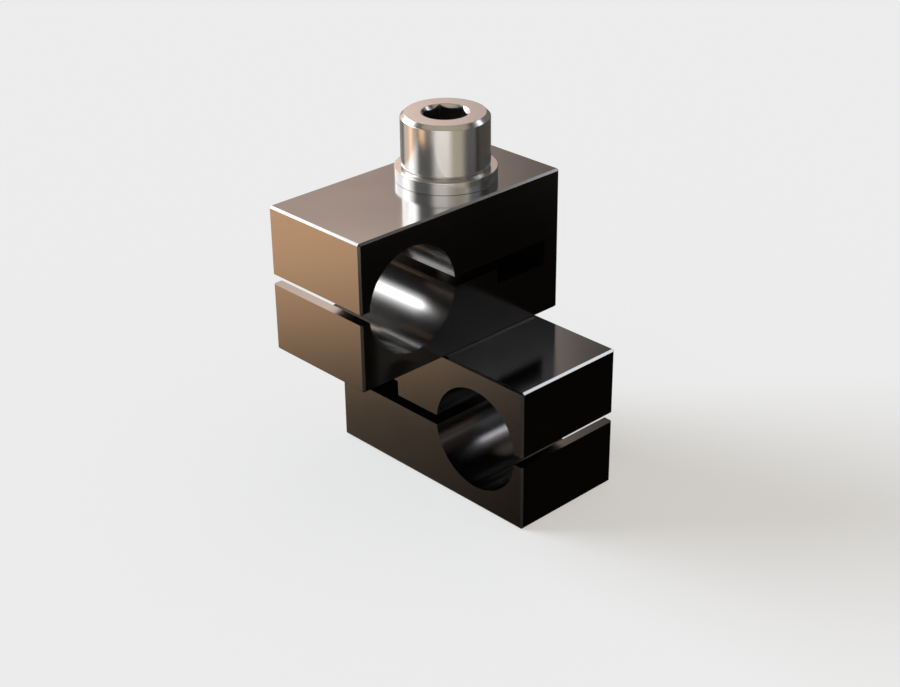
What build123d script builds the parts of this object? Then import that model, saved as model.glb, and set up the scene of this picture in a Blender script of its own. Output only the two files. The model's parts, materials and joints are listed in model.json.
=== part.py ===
"""Swivel clamp that joins two round rods at any angle.

Two like blocks are stacked on one cap screw. Each grips a rod in a bore that a slit cuts open: the slit
runs from the block's open end to a pocket beside the screw, and the thin wall behind the pocket bends as
the screw draws the jaws together. The upper block is the lower one turned over and swivelled about the
screw, which is plain in the upper block and threaded into the lower block's outer jaw.

Millimetres, +Z up. The origin is the middle of the lower rod bore, whose axis is Y.
"""
import os
from math import radians, tan

from build123d import *

# Rod bores and the metal round them
rod_diameter = 16.0
jaw_wall = 3.2
open_end_wall = 1.5
block_width = 19.1
edge_chamfer = 0.3

# Slit that lets the jaws close, and the pocket that thins the wall behind the screw
slit_height = 1.6
pocket_height = 4.0
pocket_length = 9.9
hinge_wall = 3.0

# Cap screw, the size that the head, socket and washer belong to
screw_diameter = 8.0
head_diameter = 13.0
head_height = 8.0
head_top_chamfer = 0.6
head_rim_bevel = 0.5
tip_chamfer = 0.9
socket_across_flats = 6.0
socket_depth = 4.0
socket_mouth_diameter = 7.0
socket_floor_land = 0.3
socket_point_angle = 120.0

# Holes for the screw, and where it stands in the blocks
screw_hole_clearance = 0.5
thread_clearance = 0.05
thread_countersink = 0.5
bore_to_hole_wall = 3.0
screw_to_closed_end = 13.8
screw_tip_setback = 1.4

# Washer
washer_diameter = 15.0
washer_thickness = 1.8
washer_clearance = 0.2
washer_chamfer = 0.1

# Angle between the two blocks, as they stand in use
swivel_angle = -90.0

# A cutting tool runs this far past a face that it opens
overrun = 1.0

# Sizes that follow from the ones above
bore_radius = rod_diameter / 2
screw_radius = screw_diameter / 2
screw_hole_radius = screw_radius + screw_hole_clearance
block_height = rod_diameter + 2 * jaw_wall
open_end_x = bore_radius + open_end_wall
screw_x = -(bore_radius + bore_to_hole_wall + screw_hole_radius)
closed_end_x = screw_x - screw_to_closed_end
stack_bottom_z = -block_height / 2
stack_top_z = stack_bottom_z + 2 * block_height


def span(x_low, x_high, z_low, z_high):
    """Rectangle on the block's side, given by its four sides."""
    middle = Pos((x_low + x_high) / 2, (z_low + z_high) / 2)
    return middle * Rectangle(x_high - x_low, z_high - z_low)


def rod_passage():
    """Bore, slit and pocket: one outline on the block's side, cut through its whole width.

    The pocket opens from the slit to one side only, upwards here, and their lower faces are flush.
    """
    slit_bottom = -slit_height / 2
    pocket_start = closed_end_x + hinge_wall
    pocket_end = pocket_start + pocket_length
    slit = span(pocket_end - overrun, open_end_x + overrun, slit_bottom, slit_bottom + slit_height)
    pocket = span(pocket_start, pocket_end, slit_bottom, slit_bottom + pocket_height)
    outline = Circle(bore_radius) + slit + pocket
    return extrude(Plane.XZ * outline, block_width / 2 + overrun, both=True)


def round_hole(radius, z_low, z_high):
    """Cutter for a hole about the screw's axis."""
    return Pos(screw_x, 0, z_low) * extrude(Circle(radius), z_high - z_low)


def screw_holes(tapped):
    """Cutter for the screw: clear through both jaws, or clear above and a thread's size below."""
    top = block_height / 2 + overrun
    if not tapped:
        return round_hole(screw_hole_radius, -top, top)
    thread_radius = screw_radius + thread_clearance
    mouth_radius = thread_radius + thread_countersink
    mouth = Pos(screw_x, 0, stack_bottom_z) * Rot(X=180) * cone_down(
        mouth_radius, thread_radius, thread_countersink
    )
    return round_hole(screw_hole_radius, 0, top) + round_hole(thread_radius, -top, 0) + mouth


def clamp_block(tapped):
    """One block with its bore at the origin, its open end towards +X and its pocket upwards."""
    length = open_end_x - closed_end_x
    blank = Pos((open_end_x + closed_end_x) / 2, 0, 0) * Box(length, block_width, block_height)
    blank = chamfer(blank.edges(), edge_chamfer)
    return blank - rod_passage() - screw_holes(tapped)


def turned_over(block):
    """The upper block's place: turned over, swivelled about the screw and set on the lower block."""
    about_screw = Pos(-screw_x, 0, 0) * Rot(X=180) * block
    return Pos(screw_x, 0, block_height) * Rot(Z=swivel_angle) * about_screw


def cone_down(top_radius, bottom_radius, depth):
    """Cone with its axis on Z that reaches from Z=0 down to the given depth."""
    return Cone(bottom_radius, top_radius, depth, align=(Align.CENTER, Align.CENTER, Align.MAX))


def hexagon_socket():
    """Cutter for the key's socket, its mouth at Z=0: countersink, six flats and a pointed floor."""
    flat_radius = socket_across_flats / 2
    mouth_radius = socket_mouth_diameter / 2
    point_radius = flat_radius - socket_floor_land
    point_depth = point_radius / tan(radians(socket_point_angle / 2))
    key = RegularPolygon(flat_radius, 6, major_radius=False, rotation=30)
    flats = Pos(0, 0, -socket_depth) * extrude(key, socket_depth + overrun)
    countersink = cone_down(mouth_radius, mouth_radius / 2, mouth_radius / 2)
    point = Pos(0, 0, -socket_depth) * cone_down(point_radius, 0, point_depth)
    return flats + countersink + point


def cap_screw(length):
    """Cap screw turned about Z, its bearing face at Z=0 and its thread's crests the shank's full size."""
    head_radius = head_diameter / 2
    profile = Polygon(
        (0, head_height),
        (head_radius - head_top_chamfer, head_height),
        (head_radius, head_height - head_top_chamfer),
        (head_radius, head_rim_bevel),
        (head_radius - head_rim_bevel, 0),
        (screw_radius, 0),
        (screw_radius, tip_chamfer - length),
        (screw_radius - tip_chamfer, -length),
        (0, -length),
        align=None,
    )
    return revolve(Plane.XZ * profile, Axis.Z) - Pos(0, 0, head_height) * hexagon_socket()


def plain_washer():
    """Flat ring with its edges just broken, its underside at Z=0."""
    ring = Circle(washer_diameter / 2) - Circle(screw_radius + washer_clearance)
    washer = extrude(ring, washer_thickness)
    return chamfer(washer.edges().filter_by(GeomType.CIRCLE), washer_chamfer)


screw_seat_z = stack_top_z + washer_thickness
screw_length = screw_seat_z - stack_bottom_z - screw_tip_setback
parts = {
    "lower_clamp_block": clamp_block(tapped=True),
    "upper_clamp_block": turned_over(clamp_block(tapped=False)),
    "washer": Pos(screw_x, 0, stack_top_z) * plain_washer(),
    "clamp_screw": Pos(screw_x, 0, screw_seat_z) * cap_screw(screw_length),
}

os.makedirs("parts", exist_ok=True)
for name, part in parts.items():
    export_step(part, f"parts/{name}.step")
    print(name, "volume", round(part.volume, 1), "valid", part.is_valid)
print("screw length", round(screw_length, 2), "block height", block_height)
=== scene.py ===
"""Looks of a swivel clamp: two black slit blocks stacked on one cap screw with a washer.

Metres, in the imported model's own frame: +Z up, the lower rod bore's axis along Y through the origin.
"""
import json
from math import ceil, cos, pi, radians, sin, tan

import bmesh
import bpy
import numpy as np
from mathutils import Matrix, Vector


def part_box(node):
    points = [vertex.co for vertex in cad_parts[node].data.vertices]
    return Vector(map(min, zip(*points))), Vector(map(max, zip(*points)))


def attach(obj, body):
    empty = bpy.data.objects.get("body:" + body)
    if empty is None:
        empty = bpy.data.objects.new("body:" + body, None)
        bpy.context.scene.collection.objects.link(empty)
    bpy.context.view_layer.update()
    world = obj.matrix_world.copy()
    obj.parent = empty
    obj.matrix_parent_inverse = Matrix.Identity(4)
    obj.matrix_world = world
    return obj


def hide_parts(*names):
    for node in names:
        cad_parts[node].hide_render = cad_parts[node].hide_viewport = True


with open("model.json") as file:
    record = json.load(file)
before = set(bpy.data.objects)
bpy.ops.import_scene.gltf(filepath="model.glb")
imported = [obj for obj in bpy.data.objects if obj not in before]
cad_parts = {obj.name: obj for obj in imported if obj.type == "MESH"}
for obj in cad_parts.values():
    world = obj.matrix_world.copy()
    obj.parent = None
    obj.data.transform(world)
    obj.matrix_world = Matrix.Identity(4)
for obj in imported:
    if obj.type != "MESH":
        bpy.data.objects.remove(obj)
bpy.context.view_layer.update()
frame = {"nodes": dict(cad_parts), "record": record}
mm = 0.001

# Clamp blocks
# Each block is one piece of aluminium, milled, bored for its rod and slit, then black anodised to a gloss.
# The two are alike: the upper one is the lower one turned over and swivelled about the screw.
block_low, block_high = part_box("lower_clamp_block")
rod_bores = {mount["name"]: mount for mount in frame["record"]["mounts"]}
bore_radius = rod_bores["lower_rod_bore"]["dims"]["r_mm"] * mm
slit_bottom = -0.8 * mm
pocket_top = 3.2 * mm
bore_side = -7.9 * mm
closed_end = block_low.x
half_width = block_high.y
block_colour = (0.255, 0.25, 0.245)
block_tone = 0.03
block_cloud = 9 * mm
block_roughness = 0.12
cloud_roughness = 0.05
milled_line = 0.35 * mm
milled_length = 25 * milled_line
milled_depth = 0.0003 * mm
milled_roughness = 0.04
bored_line = 0.16 * mm
bored_length = 50 * bored_line
bored_depth = 0.0008 * mm
# Painted shade: the share of the colour left inside the bore.
bore_shade_share = 0.7
bored_roughness = 0.05
# Painted shade: the share of the colour left in the slit and the pocket.
slit_shade_share = 0.22
sawn_roughness = 0.2
finish_edge = 0.02 * mm


class Signal:
    """One socket in a tree of shader nodes. A sum or product of signals adds the Math node for it."""

    def __init__(self, tree, socket=None):
        self.tree = tree
        self.socket = socket

    def node(self, kind, settings=(), inputs=(), output=0):
        """Adds a node, sets its settings, then gives its inputs their values or links."""
        node = self.tree.nodes.new(kind)
        for name, value in dict(settings).items():
            setattr(node, name, value)
        for name, value in dict(inputs).items():
            if isinstance(value, Signal):
                self.tree.links.new(value.socket, node.inputs[name])
            else:
                node.inputs[name].default_value = value
        return Signal(self.tree, node.outputs[output])

    def math(self, operation, *others):
        """One Math node on this signal and the others."""
        return self.node("ShaderNodeMath", {"operation": operation}, enumerate((self, *others)))

    def __add__(self, other):
        return self.math("ADD", other)

    def __radd__(self, other):
        return self.math("ADD", other)

    def __sub__(self, other):
        return self.math("SUBTRACT", other)

    def __rsub__(self, other):
        return self.node("ShaderNodeMath", {"operation": "SUBTRACT"}, {0: other, 1: self})

    def __mul__(self, other):
        return self.math("MULTIPLY", other)

    def __rmul__(self, other):
        return self.math("MULTIPLY", other)

    def axes(self):
        """The three numbers of a vector."""
        split = self.node("ShaderNodeSeparateXYZ", inputs={"Vector": self})
        return [Signal(self.tree, socket) for socket in split.socket.node.outputs]

    def rise(self, low, high):
        """Goes smoothly from 0 at low to 1 at high, or down where low is the larger."""
        inputs = {"Value": self, "From Min": low, "From Max": high}
        return self.node("ShaderNodeMapRange", {"interpolation_type": "SMOOTHSTEP"}, inputs)

    def grain(self, *cell, detail=2.0):
        """Noise from 0 to 1 on a vector, in patches of this length along X, Y and Z."""
        per_cell = tuple(1 / length for length in cell)
        place = self.node("ShaderNodeVectorMath", {"operation": "MULTIPLY"}, {0: self, 1: per_cell})
        return place.node("ShaderNodeTexNoise", inputs={"Vector": place, "Scale": 1.0, "Detail": detail})

    def blend(self, low, high):
        """A colour between two: the low one at 0 and the high one at 1."""
        ends = [colour if isinstance(colour, Signal) else (*colour, 1) for colour in (low, high)]
        return self.node("ShaderNodeMix", {"data_type": "RGBA"}, {0: self, 6: ends[0], 7: ends[1]}, 2)


def metal(name, place=(0, 0, 0), turn=(0, 0, 0), sheen=1.0):
    """A bare metal's material, its shader, and its pattern's own coordinates, centred and turned.

    The sheen is the share of the light that the metal mirrors. It scatters the rest.
    """
    material = bpy.data.materials.new(name)
    material.use_nodes = True
    tree = material.node_tree
    shader = tree.nodes["Principled BSDF"]
    shader.inputs["Metallic"].default_value = sheen
    whole = Signal(tree).node("ShaderNodeTexCoord", output="Object")
    settings = {"vector_type": "TEXTURE"}
    own = whole.node("ShaderNodeMapping", settings, {"Vector": whole, "Location": place, "Rotation": turn})
    return material, shader, own


def shade(colour, share):
    """The colour with each of its three numbers times this share."""
    return [share * part for part in colour]


def cover(shader, colour, roughness, height, depth):
    """Joins a colour, a roughness and a height from 0 to 1, which stands for this depth, to a shader."""
    bump = height.node("ShaderNodeBump", inputs={"Strength": 1.0, "Distance": depth, "Height": height})
    for name, signal in {"Base Color": colour, "Roughness": roughness, "Normal": bump}.items():
        signal.tree.links.new(signal.socket, shader.inputs[name])


def anodised(name, place=(0, 0, 0), turn=(0, 0, 0)):
    """Black anodising on one block, whose own frame has its bore along Y and its length along X.

    Milled lines are noise drawn out along the length. Inside the bore, where the distance from its axis
    is the bore's radius, they run round it instead, on a duller ground that painted shade darkens. The
    deep slit and the pocket are the dullest, and painted shade makes them the darkest.
    """
    material, shader, own = metal(name, place, turn)
    x, y, z = own.axes()
    from_axis = (x * x + z * z).math("SQRT")
    edge = finish_edge
    in_bore = from_axis.rise(bore_radius + 1.5 * edge, bore_radius + edge / 2)
    between_jaws = z.rise(slit_bottom - edge, slit_bottom) * z.rise(pocket_top + edge, pocket_top)
    within_width = y.math("ABSOLUTE").rise(half_width - edge / 2, half_width - edge)
    beside_screw = x.rise(closed_end, closed_end + edge) * x.rise(bore_side, bore_side - edge)
    # The slit and the pocket: rougher, and darkened with painted shade.
    slit_dull_and_shaded = between_jaws * within_width * beside_screw
    milled = own.grain(milled_length, milled_line, milled_line)
    bored = own.grain(bored_length, bored_line, bored_length)
    cloud = own.grain(block_cloud, block_cloud, block_cloud, detail=3.0)
    height = milled * (1 - in_bore) * (milled_depth / bored_depth) + bored * in_bore
    roughness = block_roughness + cloud_roughness * (cloud - 0.5) + milled_roughness * (milled - 0.5)
    roughness = roughness + slit_dull_and_shaded * sawn_roughness + in_bore * bored_roughness
    colour = cloud.blend(shade(block_colour, 1 - block_tone), shade(block_colour, 1 + block_tone))
    # Painted shade: the bore's inside is darkened, for the shade deep in it.
    colour = in_bore.blend(colour, shade(block_colour, bore_shade_share))
    # Painted shade: the slit and the pocket are darkened most, for the shade between the jaws.
    colour = slit_dull_and_shaded.blend(colour, shade(block_colour, slit_shade_share))
    cover(shader, colour, roughness, height, bored_depth)
    return material


def paint(node, material):
    """Gives a CAD node its finish, in the node's own material slots."""
    for slot in frame["nodes"][node].material_slots:
        slot.material = material


upper_bore_place = rod_bores["upper_rod_bore"]["pos_m"]
over_and_round = (pi, 0, -pi / 2)
paint("lower_clamp_block", anodised("lower_anodising"))
paint("upper_clamp_block", anodised("upper_anodising", upper_bore_place, over_and_round))

# Washer
# A plain washer of bright stainless steel, turned and faced, with its edges just broken.
# It lies on the upper block, round the screw's shank, and the screw's head holds it down.
washer_low, washer_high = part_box("washer")
steel_colour = (0.672, 0.658, 0.639)
steel_tone = 0.02
steel_cloud = 5 * mm
steel_roughness = 0.18
steel_sheen = 0.95
turned_line = 0.12 * mm
turned_depth = 0.0006 * mm
turned_roughness = 0.06
# Painted shade: the share of the colour left in the screw's socket.
socket_shade_share = 0.3
socket_shade_edge = 0.1 * mm
washer_hole_radius = 4.2 * mm
washer_edge = 0.05 * mm
columns = 96
column_angle = np.arange(columns) * 2 * pi / columns
round_steps = 4
longest_cut = 0.4
flat_margin = 1.2
same_point = 0.0005 * mm
sliver = 0.0001 * mm
sharp_angle = radians(28)


def turned_steel(name, axis, socket=None):
    """Bright stainless steel turned about an upright axis at this point.

    The turning marks are noise on distance from the axis and height alone, so that they run round it.
    A socket is given as its radius and its lowest and highest height. It is formed, and its darker
    colour is painted shade.
    """
    material, shader, own = metal(name, (axis[0], axis[1], 0), sheen=steel_sheen)
    x, y, z = own.axes()
    radius = (x * x + y * y).math("SQRT")
    ring = radius.node("ShaderNodeCombineXYZ", inputs={"X": radius, "Z": z})
    marks = ring.grain(turned_line, turned_line, turned_line)
    cloud = own.grain(steel_cloud, steel_cloud, steel_cloud, detail=3.0)
    roughness = steel_roughness + cloud_roughness * (cloud - 0.5) + turned_roughness * (marks - 0.5)
    colour = cloud.blend(shade(steel_colour, 1 - steel_tone), shade(steel_colour, 1 + steel_tone))
    if socket:
        reach, low, high = socket
        edge = socket_shade_edge
        deep = radius.rise(reach, reach - edge) * z.rise(low, low + edge) * z.rise(high, high - edge)
        # Painted shade: the socket's inside is darkened.
        colour = deep.blend(colour, shade(steel_colour, socket_shade_share))
    cover(shader, colour, roughness, marks, turned_depth)
    return material


def outline(points, corner_round=0.0):
    """Rows of (radius, height) for each column, from points whose numbers may differ by column.

    Each inner corner P becomes the curve (1-t)^2 A + 2t(1-t) P + t^2 B. A and B lie on its two sides, as
    far from P as corner_round says, or nearer on a short side. A row just beyond each end of the curve
    keeps the shading of the flat next to it flat.
    """
    rows = np.array([[np.broadcast_to(value, columns) for value in point] for point in points])
    rows = np.moveaxis(rows, 1, 2)
    if not corner_round:
        return rows
    sides = np.diff(rows, axis=0)
    lengths = np.linalg.norm(sides, axis=2, keepdims=True)
    cuts = np.minimum(corner_round, longest_cut * lengths) / lengths
    corners = rows[1:-1]
    back = sides[:-1] * cuts[:-1]
    ahead = sides[1:] * cuts[1:]
    t = np.linspace(0, 1, round_steps + 1)[:, None, None, None]
    curve = (1 - t) ** 2 * (corners - back) + 2 * t * (1 - t) * corners + t ** 2 * (corners + ahead)
    curve = np.concatenate([[corners - back * flat_margin], curve, [corners + ahead * flat_margin]])
    curve = np.moveaxis(curve, 0, 1).reshape(-1, columns, 2)
    return np.concatenate([rows[:1], curve, rows[-1:]])


def turned_mesh(name, blocks, axis, closed=False):
    """Mesh of rows of (radius, height) about an upright axis: x = r cos a, y = r sin a, z = h.

    Each block of rows has a shift: where its last column meets the first, a row meets the one that is
    this many rows further on. It is 0 for plain turned rows, and one pitch's rows for a thread.
    """
    rows = np.concatenate([block for block, shift in blocks])
    total = len(rows)
    seam = []
    for block, shift in blocks:
        start = len(seam)
        seam.extend(np.minimum(np.arange(len(block)) + shift, len(block) - 1) + start)
    x = axis[0] + rows[..., 0] * np.cos(column_angle)
    y = axis[1] + rows[..., 0] * np.sin(column_angle)
    points = np.stack([x, y, rows[..., 1]], axis=2).reshape(-1, 3)
    index = np.arange(total * columns).reshape(total, columns)
    right = np.concatenate([index[:, 1:], index[np.array(seam), :1]], axis=1)
    above = slice(1, None)
    below = slice(None, -1)
    faces = np.stack([index[below], right[below], right[above], index[above]], axis=2).reshape(-1, 4)
    if closed:
        ends = np.stack([index[-1], right[-1], right[0], index[0]], axis=1)
        faces = np.concatenate([faces, ends])
    mesh = bpy.data.meshes.new(name)
    mesh.from_pydata(points.tolist(), [], faces.tolist())
    shape = bmesh.new()
    shape.from_mesh(mesh)
    bmesh.ops.remove_doubles(shape, verts=shape.verts, dist=same_point)
    bmesh.ops.dissolve_degenerate(shape, edges=shape.edges, dist=sliver)
    bmesh.ops.recalc_face_normals(shape, faces=shape.faces)
    shape.to_mesh(mesh)
    shape.free()
    mesh.shade_smooth()
    mesh.set_sharp_from_angle(angle=sharp_angle)
    piece = bpy.data.objects.new(name, mesh)
    bpy.context.scene.collection.objects.link(piece)
    return piece


screw_axis = (washer_low + washer_high) / 2
washer_radius = (washer_high.x - washer_low.x) / 2
ring = outline(
    [
        (washer_hole_radius, screw_axis.z),
        (washer_hole_radius, washer_high.z),
        (washer_radius, washer_high.z),
        (washer_radius, washer_low.z),
        (washer_hole_radius, washer_low.z),
        (washer_hole_radius, screw_axis.z),
    ],
    washer_edge,
)
washer = turned_mesh("plain_washer", [(ring, 0)], screw_axis)
washer.data.materials.append(turned_steel("washer_steel_turned", screw_axis))
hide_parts("washer")
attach(washer, "washer")

# Cap screw
# An M8 stainless socket head cap screw, turned, with a rolled thread on its lowest 28 mm.
# It passes through the washer and the upper block, and is screwed into the lower block's outer jaw.
screw_low, screw_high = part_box("clamp_screw")
seat_z = washer_high.z
head_radius = (screw_high.x - screw_low.x) / 2
shank_radius = 4.0 * mm
head_top_chamfer = 0.6 * mm
head_rim_bevel = 0.5 * mm
tip_chamfer = 0.9 * mm
socket_flat = 3.0 * mm
socket_depth = 4.0 * mm
socket_mouth_radius = 3.5 * mm
socket_floor_land = 0.3 * mm
socket_point_angle = radians(120)
edge_round = 0.04 * mm
thread_length = 28.0 * mm
thread_runout = 1.5 * mm
thread_pitch = 1.25 * mm
depth_per_pitch = 0.6134
thread_depth = depth_per_pitch * thread_pitch
flank_slope = tan(radians(30))
# Places on the thread's profile, in pitches from the crest's middle: where the crest ends, where the root
# starts, and the rows between them.
crest = 1 / 16
root = crest + thread_depth * flank_slope / thread_pitch
flank = (root + crest) / 2
phases = np.array([-root, -flank, -crest, 0, crest, flank, root, 0.5])
spare_turns = 3


def thread_rows(low, high, depth_of, limit):
    """Rows of (radius, height) that follow a right-hand thread from the height low to high.

    A row keeps one place on the thread's profile and climbs one pitch each time round. Heights are held
    between low and high, where limit brings every row to the same radius. So the spare turns that start
    or end outside lie flat at the two ends.
    """
    count = int((high - low) / thread_pitch) + spare_turns
    turns = (np.arange(count)[:, None] + phases).ravel()
    height = low + thread_pitch * (turns[:, None] - 1 + column_angle / (2 * pi))
    height = np.clip(height, low, high)
    depth = depth_of(np.abs((turns + 0.5) % 1 - 0.5))[:, None]
    return np.stack([limit(depth, height), height], axis=2)


def screw_thread(from_crest):
    """Depth below the crest at a place on the profile: distance past the crest, over the flank's slope."""
    return np.clip((from_crest - crest) * thread_pitch / flank_slope, 0, thread_depth)


thread_top = screw_low.z + thread_length
tip_radius = shank_radius - tip_chamfer


def screw_limit(depth, height):
    """The screw's radius: cut down by the tip's chamfer, and brought up to the shank at the run-out."""
    runout = shank_radius - (thread_top - height) * thread_depth / thread_runout
    threaded = np.maximum(shank_radius - depth, runout)
    return np.minimum(threaded, tip_radius + (height - screw_low.z))


# Distance from the axis to the hexagon in each column: the flat's, over the cosine from its middle.
hexagon = socket_flat / np.cos((column_angle + pi / 6) % (pi / 3) - pi / 6)
head_top = screw_high.z
point_radius = socket_flat - socket_floor_land
head = outline(
    [
        (shank_radius, thread_top),
        (shank_radius, seat_z),
        (head_radius - head_rim_bevel, seat_z),
        (head_radius, seat_z + head_rim_bevel),
        (head_radius, head_top - head_top_chamfer),
        (head_radius - head_top_chamfer, head_top),
        (socket_mouth_radius, head_top),
        (hexagon, head_top - (socket_mouth_radius - hexagon)),
        (hexagon, head_top - socket_depth),
        (point_radius, head_top - socket_depth),
        (0, head_top - socket_depth - point_radius / tan(socket_point_angle / 2)),
    ],
    edge_round,
)
tip = outline([(0, screw_low.z), (tip_radius, screw_low.z)])
body = thread_rows(screw_low.z, thread_top, screw_thread, screw_limit)
screw = turned_mesh("cap_screw", [(tip, 0), (body, len(phases)), (head, 0)], screw_axis)
socket = (socket_mouth_radius, seat_z, head_top - socket_mouth_radius + socket_flat)
screw.data.materials.append(turned_steel("screw_steel_turned", screw_axis, socket))
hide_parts("clamp_screw")
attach(screw, "screw")

# Tapped thread
# The thread that is cut in the lower block's outer jaw, where the screw ends. It is part of the block.
# Its ridges stand in the plain hole of the CAD solid, in mesh with the screw's, with a running clearance.
hole_radius = 4.05 * mm
thread_countersink = 0.5 * mm
inner_lead = 3.0
tapped_minor_radius = 3.35 * mm
groove_radius = 4.03 * mm
flank_clearance = 0.04 * mm
end_sunk = 0.03 * mm
back_sunk = 0.15 * mm
wall_radius = hole_radius + back_sunk
tapped_low = block_low.z + thread_countersink - end_sunk
tapped_high = slit_bottom - end_sunk


def tapped_depth(from_crest):
    """How far the block's thread stands in from its groove: as the screw's depth, less the clearance."""
    reach = (from_crest - crest) * thread_pitch - flank_clearance
    return np.clip(reach / flank_slope, 0, groove_radius - tapped_minor_radius)


def tapped_limit(depth, height):
    """The hole's radius, opened by the countersink below and by a short lead at the slit."""
    countersink = hole_radius + end_sunk - (height - tapped_low)
    lead = hole_radius - (tapped_high - height) * inner_lead
    return np.maximum(groove_radius - depth, np.maximum(countersink, lead))


# The rows start whole pitches below the screw's, so that both threads have the same phase.
phase_low = screw_low.z - thread_pitch * ceil((screw_low.z - tapped_low) / thread_pitch)
ridges = thread_rows(phase_low, tapped_high, tapped_depth, tapped_limit)
ridges[..., 1] = np.maximum(ridges[..., 1], tapped_low)
ridges[..., 0] = np.where(ridges[..., 1] > tapped_low, ridges[..., 0], hole_radius + end_sunk)
wall = outline([(wall_radius, tapped_high), (wall_radius, tapped_low)])
tapped = turned_mesh("tapped_thread", [(ridges, len(phases)), (wall, 0)], screw_axis, closed=True)
tapped.data.materials.append(anodised("tapped_anodising"))
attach(tapped, "lower_block")

# Floor
# A pale matt sheet that the clamp stands on. It runs past the view on every side. Half of its paleness is
# its own glow to the camera, so that it stays even close to the clamp and still takes the soft shadow.
floor_colour = (0.80, 0.80, 0.80)
floor_glow = (0.955, 0.928, 0.886)
glow_share = 0.5
floor_reach = 4.0


def light_tree(owner):
    """Empties a material's or the world's tree and gives a signal to build on, and the output node."""
    owner.use_nodes = True
    tree = owner.node_tree
    tree.nodes.clear()
    kind = "ShaderNodeOutputWorld" if isinstance(owner, bpy.types.World) else "ShaderNodeOutputMaterial"
    return Signal(tree), tree.nodes.new(kind)


def ray_kinds(start):
    """Light Path's outputs by name: 1 where a ray is of that kind."""
    path = start.node("ShaderNodeLightPath")
    return {socket.name: Signal(start.tree, socket) for socket in path.socket.node.outputs}


floor_paint = bpy.data.materials.new("floor_paint")
start, output = light_tree(floor_paint)
matt = start.node("ShaderNodeBsdfDiffuse", inputs={"Color": (*floor_colour, 1)})
glow = start.node("ShaderNodeEmission", inputs={"Color": (*floor_glow, 1)})
share = ray_kinds(start)["Is Camera Ray"] * glow_share
both = start.node("ShaderNodeMixShader", inputs={0: share, 1: matt, 2: glow})
both.tree.links.new(both.socket, output.inputs["Surface"])
sheet = bpy.data.meshes.new("floor")
corners = [(floor_reach * x, floor_reach * y, block_low.z) for x, y in ((-1, -1), (1, -1), (1, 1), (-1, 1))]
sheet.from_pydata(corners, [], [(0, 1, 2, 3)])
sheet.materials.append(floor_paint)
floor = bpy.data.objects.new("floor", sheet)
bpy.context.scene.collection.objects.link(floor)
floor.visible_glossy = False

# World
# Plain pale light all round for matt surfaces, and pale to the camera. The polished metal mirrors a dark
# room with windows, pale walls and a tan floor. Each patch of it is a bearing, half width and soft border,
# then a height, half height and soft border, all in degrees, and then its light.
ambient = (0.400, 0.383, 0.357)
backdrop = (0.845, 0.845, 0.845)
room = (0.006, 0.005, 0.004)
seen_in_metal = {
    "left_window": (-160, 31, 16, 28.4, 0.4, 16.4, (5.40, 5.50, 5.60)),
    "window_core": (-144, 6, 8, 28, 2, 5, (8.2, 8.3, 8.4)),
    "wall": (155, 14, 12, 13, 6, 18, (0.95, 0.72, 0.62)),
    "wall_light": (152, 12, 10, 30, 3, 4.5, (1.55, 1.30, 1.12)),
    "tan_floor": (-142, 2.5, 7, -20, 3, 7, (1.02, 0.47, 0.12)),
    "tan_floor_wide": (-147, 20, 14, -20, 2, 8.3, (0.67, 0.55, 0.46)),
    "tan_stripe": (-106, 3, 11, -20, 2, 6, (1.40, 0.90, 0.48)),
    "brown_floor": (-152, 12, 12, -24, 5, 8, (0.155, 0.12, 0.09)),
    "front_window": (-54, 10, 22, 0, 20.5, 4, (1.42, 1.37, 1.30)),
    "front_window_top": (-54, 9, 17, 26, 6, 8, (1.20, 1.16, 1.10)),
    "front_left_floor": (-88, 4, 10, -18, 4, 5, (0.28, 0.23, 0.19)),
    "front_low": (-50, 8, 14, -28, 4, 6, (0.06, 0.055, 0.05)),
    "front_floor": (-16, 10, 20, -20, 8, 10, (0.50, 0.45, 0.36)),
    "front_haze": (-72, 40, 14, 22, 6, 10, (0.22, 0.23, 0.23)),
    "front_right_window": (-12, 14, 14, 20, 5, 6, (1.10, 1.02, 0.87)),
    "right_floor": (22, 10, 14, -18.5, 2.5, 2.5, (0.15, 0.15, 0.15)),
    "right_haze": (18, 14, 11, 17, 6, 5, (0.42, 0.45, 0.50)),
    "right_window": (61, 11, 9, 34.5, 1.6, 4.7, (2.90, 2.95, 3.25)),
    "right_glow": (58, 6, 14, 41.2, 1.2, 4.5, (0.35, 0.34, 0.32)),
    "back_floor": (84, 32, 8, -18.5, 2.5, 2.5, (0.07, 0.06, 0.05)),
    "back_haze": (100, 26, 16, 16, 14, 12, (0.11, 0.105, 0.10)),
    "back_wall": (148, 18, 22, -18, 6, 8, (0.28, 0.25, 0.22)),
    "haze": (0, 180, 1, 14, 14, 8, (0.05, 0.05, 0.055)),
    "ceiling": (0, 180, 1, 65, 8, 9, (0.46, 0.40, 0.31)),
    "ceiling_top": (0, 180, 1, 90, 15, 12, (0.12, 0.11, 0.10)),
}


def patch(u, half_u, soft_u, v, centre_v, half_v, soft_v):
    """1 inside a rectangle in u and v, and falling smoothly to 0 over its soft borders."""
    off_u = u.math("ABSOLUTE")
    off_v = (v - centre_v).math("ABSOLUTE")
    return off_u.rise(half_u + soft_u, half_u) * off_v.rise(half_v + soft_v, half_v)


def bearing(x, y, centre):
    """Angle of (x, y) about Z, measured from this centre, in degrees from -180 to 180."""
    ahead = x * cos(radians(centre)) + y * sin(radians(centre))
    across = y * cos(radians(centre)) - x * sin(radians(centre))
    return across.math("ARCTAN2", ahead) * (180 / pi)


def lit(total, share, colour):
    """A colour added to the total by this share."""
    light = share.node("ShaderNodeVectorMath", {"operation": "SCALE"}, {0: colour, "Scale": share})
    return light.node("ShaderNodeVectorMath", {"operation": "ADD"}, {0: total, 1: light})


world = bpy.data.worlds.new("studio")
bpy.context.scene.world = world
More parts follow.
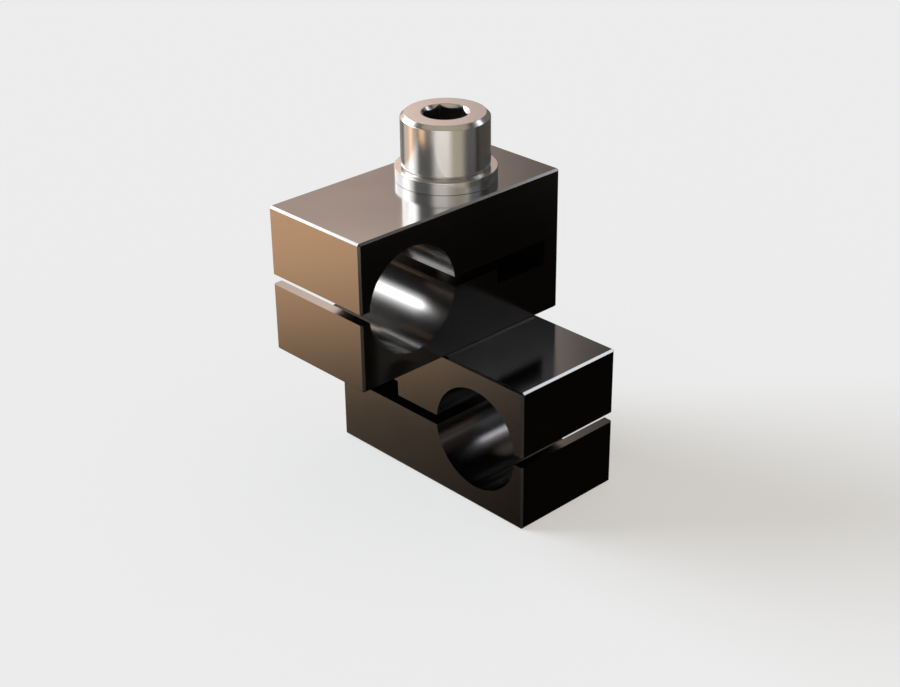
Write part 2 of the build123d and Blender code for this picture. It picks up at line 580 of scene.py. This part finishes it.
# What the world shows depends on the kind of ray, so rays find it by themselves and aren't aimed at it.
world.cycles.sampling_method = "NONE"
start, output = light_tree(world)
x, y, z = start.node("ShaderNodeTexCoord", output="Generated").axes()
level = z.math("ARCSINE") * (180 / pi)
mirror_image = room
for centre, half_span, border, height, half_height, fade, colour in seen_in_metal.values():
    across = bearing(x, y, centre)
    share = patch(across, half_span, border, level, height, half_height, fade)
    mirror_image = lit(mirror_image, share, colour)
rays = ray_kinds(start)
mirrored = rays["Is Glossy Ray"].math("MAXIMUM", rays["Is Transmission Ray"])
plain = rays["Is Camera Ray"].blend(ambient, backdrop)
seen = mirrored.blend(plain, mirror_image)
light = seen.node("ShaderNodeBackground", inputs={"Color": seen, "Strength": 1.0})
light.tree.links.new(light.socket, output.inputs["Surface"])

# Window light
# The daylight of the large left window, which gives the floor the clamp's soft shadow. It is a broad lamp
# far away, left out of reflections, because the mirrored window is in the world.
lamp = bpy.data.lights.new("window_light", "SUN")
lamp.energy = 5.57
lamp.color = (0.795, 0.879, 1.0)
lamp.angle = radians(38)
lamp_bearing = -149.2
lamp_height = 20.9
window = bpy.data.objects.new("window_light", lamp)
bpy.context.scene.collection.objects.link(window)
toward = Vector((
    cos(radians(lamp_bearing)) * cos(radians(lamp_height)),
    sin(radians(lamp_bearing)) * cos(radians(lamp_height)),
    sin(radians(lamp_height)),
))
window.rotation_euler = toward.to_track_quat("Z", "Y").to_euler()
window.visible_glossy = False

# Camera
# The photograph's view: its bearing from the front, its height, a slight roll, and how far it stands from
# the point that it aims at.
camera_azimuth = radians(46.623)
camera_elevation = radians(27.435)
camera_roll = radians(-0.670)
camera_aim = Vector((-20.585, 5.21, 2.584)) * mm
camera_distance = 262.69 * mm
camera_data = bpy.data.cameras.new("camera")
camera_data.lens = 67.06
camera_data.sensor_width = 36.0
camera_data.clip_start = 0.01
camera = bpy.data.objects.new("camera", camera_data)
bpy.context.scene.collection.objects.link(camera)
back = Vector((
    sin(camera_azimuth) * cos(camera_elevation),
    -cos(camera_azimuth) * cos(camera_elevation),
    sin(camera_elevation),
))
level_right = Vector((cos(camera_azimuth), sin(camera_azimuth), 0))
level_up = back.cross(level_right)
right = level_right * cos(camera_roll) + level_up * sin(camera_roll)
up = level_up * cos(camera_roll) - level_right * sin(camera_roll)
turned = Matrix((right, up, back)).transposed().to_4x4()
camera.matrix_world = Matrix.Translation(camera_aim + back * camera_distance) @ turned
bpy.context.scene.camera = camera
bpy.context.scene.view_settings.view_transform = "Standard"
